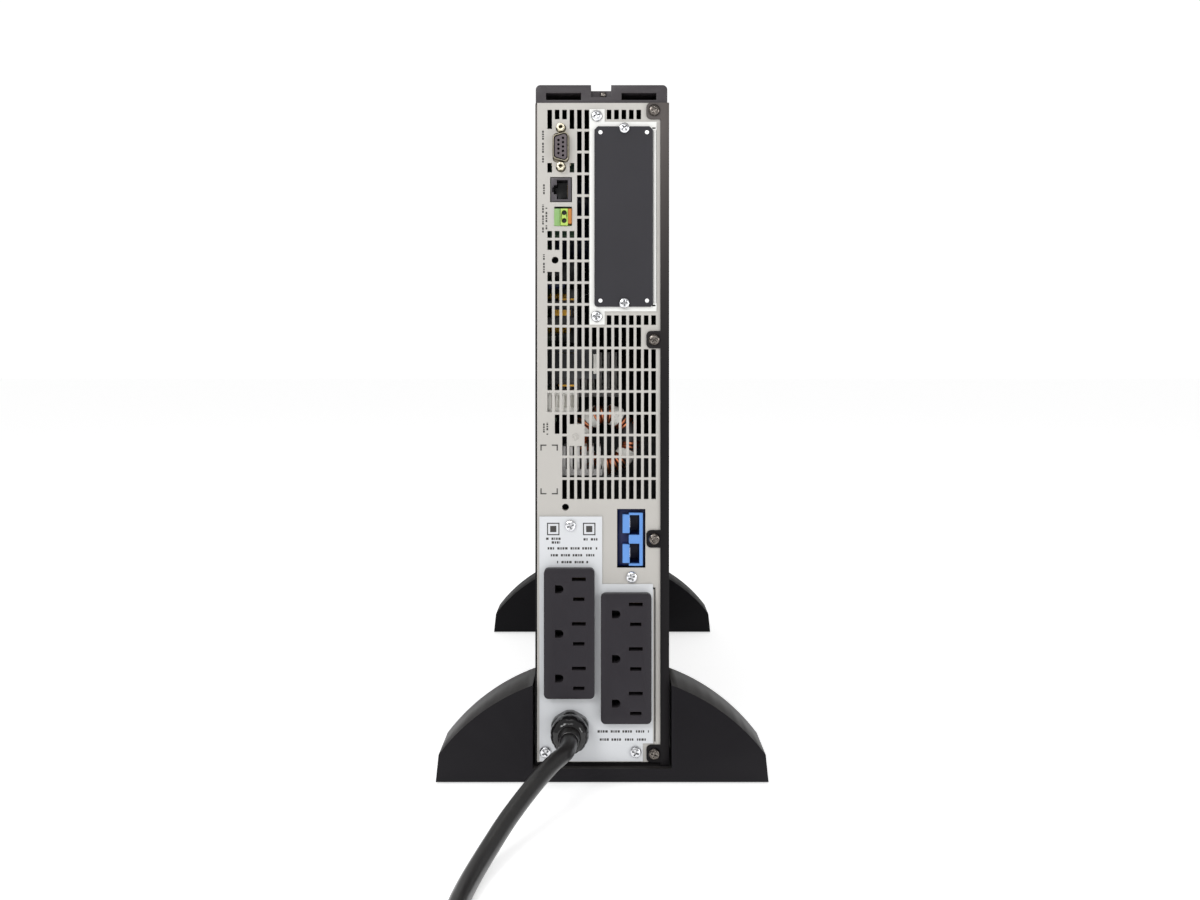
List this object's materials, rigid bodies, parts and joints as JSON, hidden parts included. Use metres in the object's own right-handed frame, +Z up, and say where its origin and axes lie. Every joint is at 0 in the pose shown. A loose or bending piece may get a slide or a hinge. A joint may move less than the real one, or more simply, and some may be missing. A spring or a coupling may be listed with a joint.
{
  "type": "rackmount uninterruptible power supply",
  "caption": "Rackmount UPS on edge in half-moon feet: steel case, slotted rear panel with outlets and ports, coiled mains cord, front battery drawer.",
  "frame": {"origin": "on the floor under the middle of the cabinet with its feet and cord gland, leaving out the loose cord", "axes": "+X to the right seen from behind, +Y from the rear panel to the front bezel, +Z up"},
  "size_m": [0.2392, 0.872, 0.4468],
  "materials": {
    "black_steel": "fine-textured dark powder coat",
    "light_grey_steel": "smooth warm light grey coat",
    "light_grey_frame": "smooth light grey coat",
    "bluish_grey_steel": "smooth cool light grey coat",
    "dark_grey_plate": "satin dark grey coat",
    "zinc_steel": "zinc-plated sheet",
    "black_screw": "glossy black screws",
    "bright_zinc": "bright zinc screws",
    "black_plastic": "moulded, lightly grained",
    "foot_plastic": "moulded, lightly grained",
    "bezel_plastic": "moulded, lightly grained",
    "outlet_plastic": "smooth satin moulding",
    "gland_plastic": "smooth nylon",
    "plug_plastic": "moulded soft jacket",
    "cord_jacket": "satin round jacket",
    "tie_fabric": "woven hook tape",
    "plug_nickel": "nickel-plated brass",
    "pad_rubber": "matt",
    "contact_brass": "rolled spring strip",
    "gold_contact": "plated wire",
    "silver_contact": "silver-plated copper",
    "dull_nickel": "dull tin-plated shell",
    "jackscrew_nickel": "plated hexagon standoffs",
    "grey_insulator": "moulded insert",
    "jack_plastic": "smooth moulding",
    "green_plastic": "smooth moulding",
    "lime_plastic": "smooth moulding",
    "orange_plastic": "smooth moulding",
    "blue_plastic": "smooth moulding",
    "board_green": "solder mask over glass laminate",
    "capacitor_sleeve": "shrink sleeve",
    "relay_case": "smooth moulding",
    "transformer_tape": "polyester tape over ferrite",
    "copper_winding": "enamelled copper",
    "sink_aluminium": "extruded",
    "white_plastic": "smooth moulding",
    "fan_plastic": "moulded",
    "rotor_plastic": "moulded",
    "display_plastic": "satin moulding",
    "display_glass": "tinted window",
    "led_lens": "clear green lens",
    "green_button": "satin moulding",
    "grey_button": "satin moulding",
    "battery_case": "moulded case",
    "handle_plastic": "moulded strap"
  },
  "bodies": {
    "cabinet": {"base_tray": "black_steel", "rear_panel": "light_grey_steel", "outer_cover": "black_steel", "cover_screws": "black_screw", "front_frame": "zinc_steel", "bay_divider": "zinc_steel", "top_cover": "black_plastic", "card_frame": "light_grey_frame", "card_blank_plate": "dark_grey_plate", "card_plate_rivets": "bright_zinc", "card_cage": "zinc_steel", "outlet_plate": "bluish_grey_steel", "panel_screws": "bright_zinc", "outlet_block_left": "outlet_plastic", "outlet_block_right": "outlet_plastic", "outlet_contacts": "contact_brass", "serial_shell": "dull_nickel", "serial_insulator": "grey_insulator", "serial_jackscrews": "jackscrew_nickel", "data_jack": "jack_plastic", "data_jack_contacts": "gold_contact", "epo_header": "green_plastic", "comms_board": "board_green", "battery_socket": "blue_plastic", "battery_socket_contacts": "silver_contact", "cord_gland": "gland_plastic", "gland_nut": "gland_plastic", "power_cord": "cord_jacket", "cord_coil": "cord_jacket", "cord_tail": "cord_jacket", "coil_tie": "tie_fabric", "power_plug": "plug_plastic", "plug_blades": "plug_nickel", "rear_foot": "foot_plastic", "front_foot": "foot_plastic", "foot_pads": "pad_rubber", "front_bezel": "bezel_plastic", "main_board": "board_green", "capacitors": "capacitor_sleeve", "relays": "relay_case", "transformers": "transformer_tape", "toroid_choke": "copper_winding", "rear_heat_sink": "sink_aluminium", "main_heat_sink": "sink_aluminium", "terminal_block": "white_plastic", "fan_frames": "fan_plastic"},
    "emergency_plug": {"epo_plug": "lime_plastic", "epo_lever": "orange_plastic"},
    "display": {"display_module": "display_plastic", "display_window": "display_glass", "status_leds": "led_lens"},
    "on_key": {"on_button": "green_button"},
    "off_key": {"off_button": "grey_button"},
    "lower_rotor": {"lower_fan_rotor": "rotor_plastic"},
    "upper_rotor": {"upper_fan_rotor": "rotor_plastic"},
    "drawer": {"battery_drawer": "zinc_steel", "battery_blocks": "battery_case", "drawer_handle": "handle_plastic"},
    "fascia": {"bay_fascia": "bezel_plastic"}
  },
  "joints": [
    {"name": "emergency_plug_pull", "type": "slide", "parent": "cabinet", "child": "emergency_plug", "axis": [0, -1, 0], "range_m": [0, 0.009]},
    {"name": "display_turn", "type": "hinge", "parent": "cabinet", "child": "display", "pos_m": [0, 0.2545, 0.2473], "axis": [0, 1, 0], "range_deg": [0, 90]},
    {"name": "on_press", "type": "slide", "parent": "display", "child": "on_key", "axis": [0, -1, 0], "range_m": [0, 0.0015], "stiffness_N_per_m": 400, "springref_m": -0.001},
    {"name": "off_press", "type": "slide", "parent": "display", "child": "off_key", "axis": [0, -1, 0], "range_m": [0, 0.0015], "stiffness_N_per_m": 400, "springref_m": -0.001},
    {"name": "lower_fan_spin", "type": "hinge", "parent": "cabinet", "child": "lower_rotor", "pos_m": [0, 0.2105, 0.2999], "axis": [0, 1, 0], "continuous": true},
    {"name": "upper_fan_spin", "type": "hinge", "parent": "cabinet", "child": "upper_rotor", "pos_m": [0, 0.2105, 0.3899], "axis": [0, 1, 0], "continuous": true},
    {"name": "drawer_slide", "type": "slide", "parent": "cabinet", "child": "drawer", "axis": [0, 1, 0], "range_m": [0, 0.3]},
    {"name": "fascia_pull", "type": "slide", "parent": "drawer", "child": "fascia", "axis": [0, 1, 0], "range_m": [0, 0.03]}
  ]
}
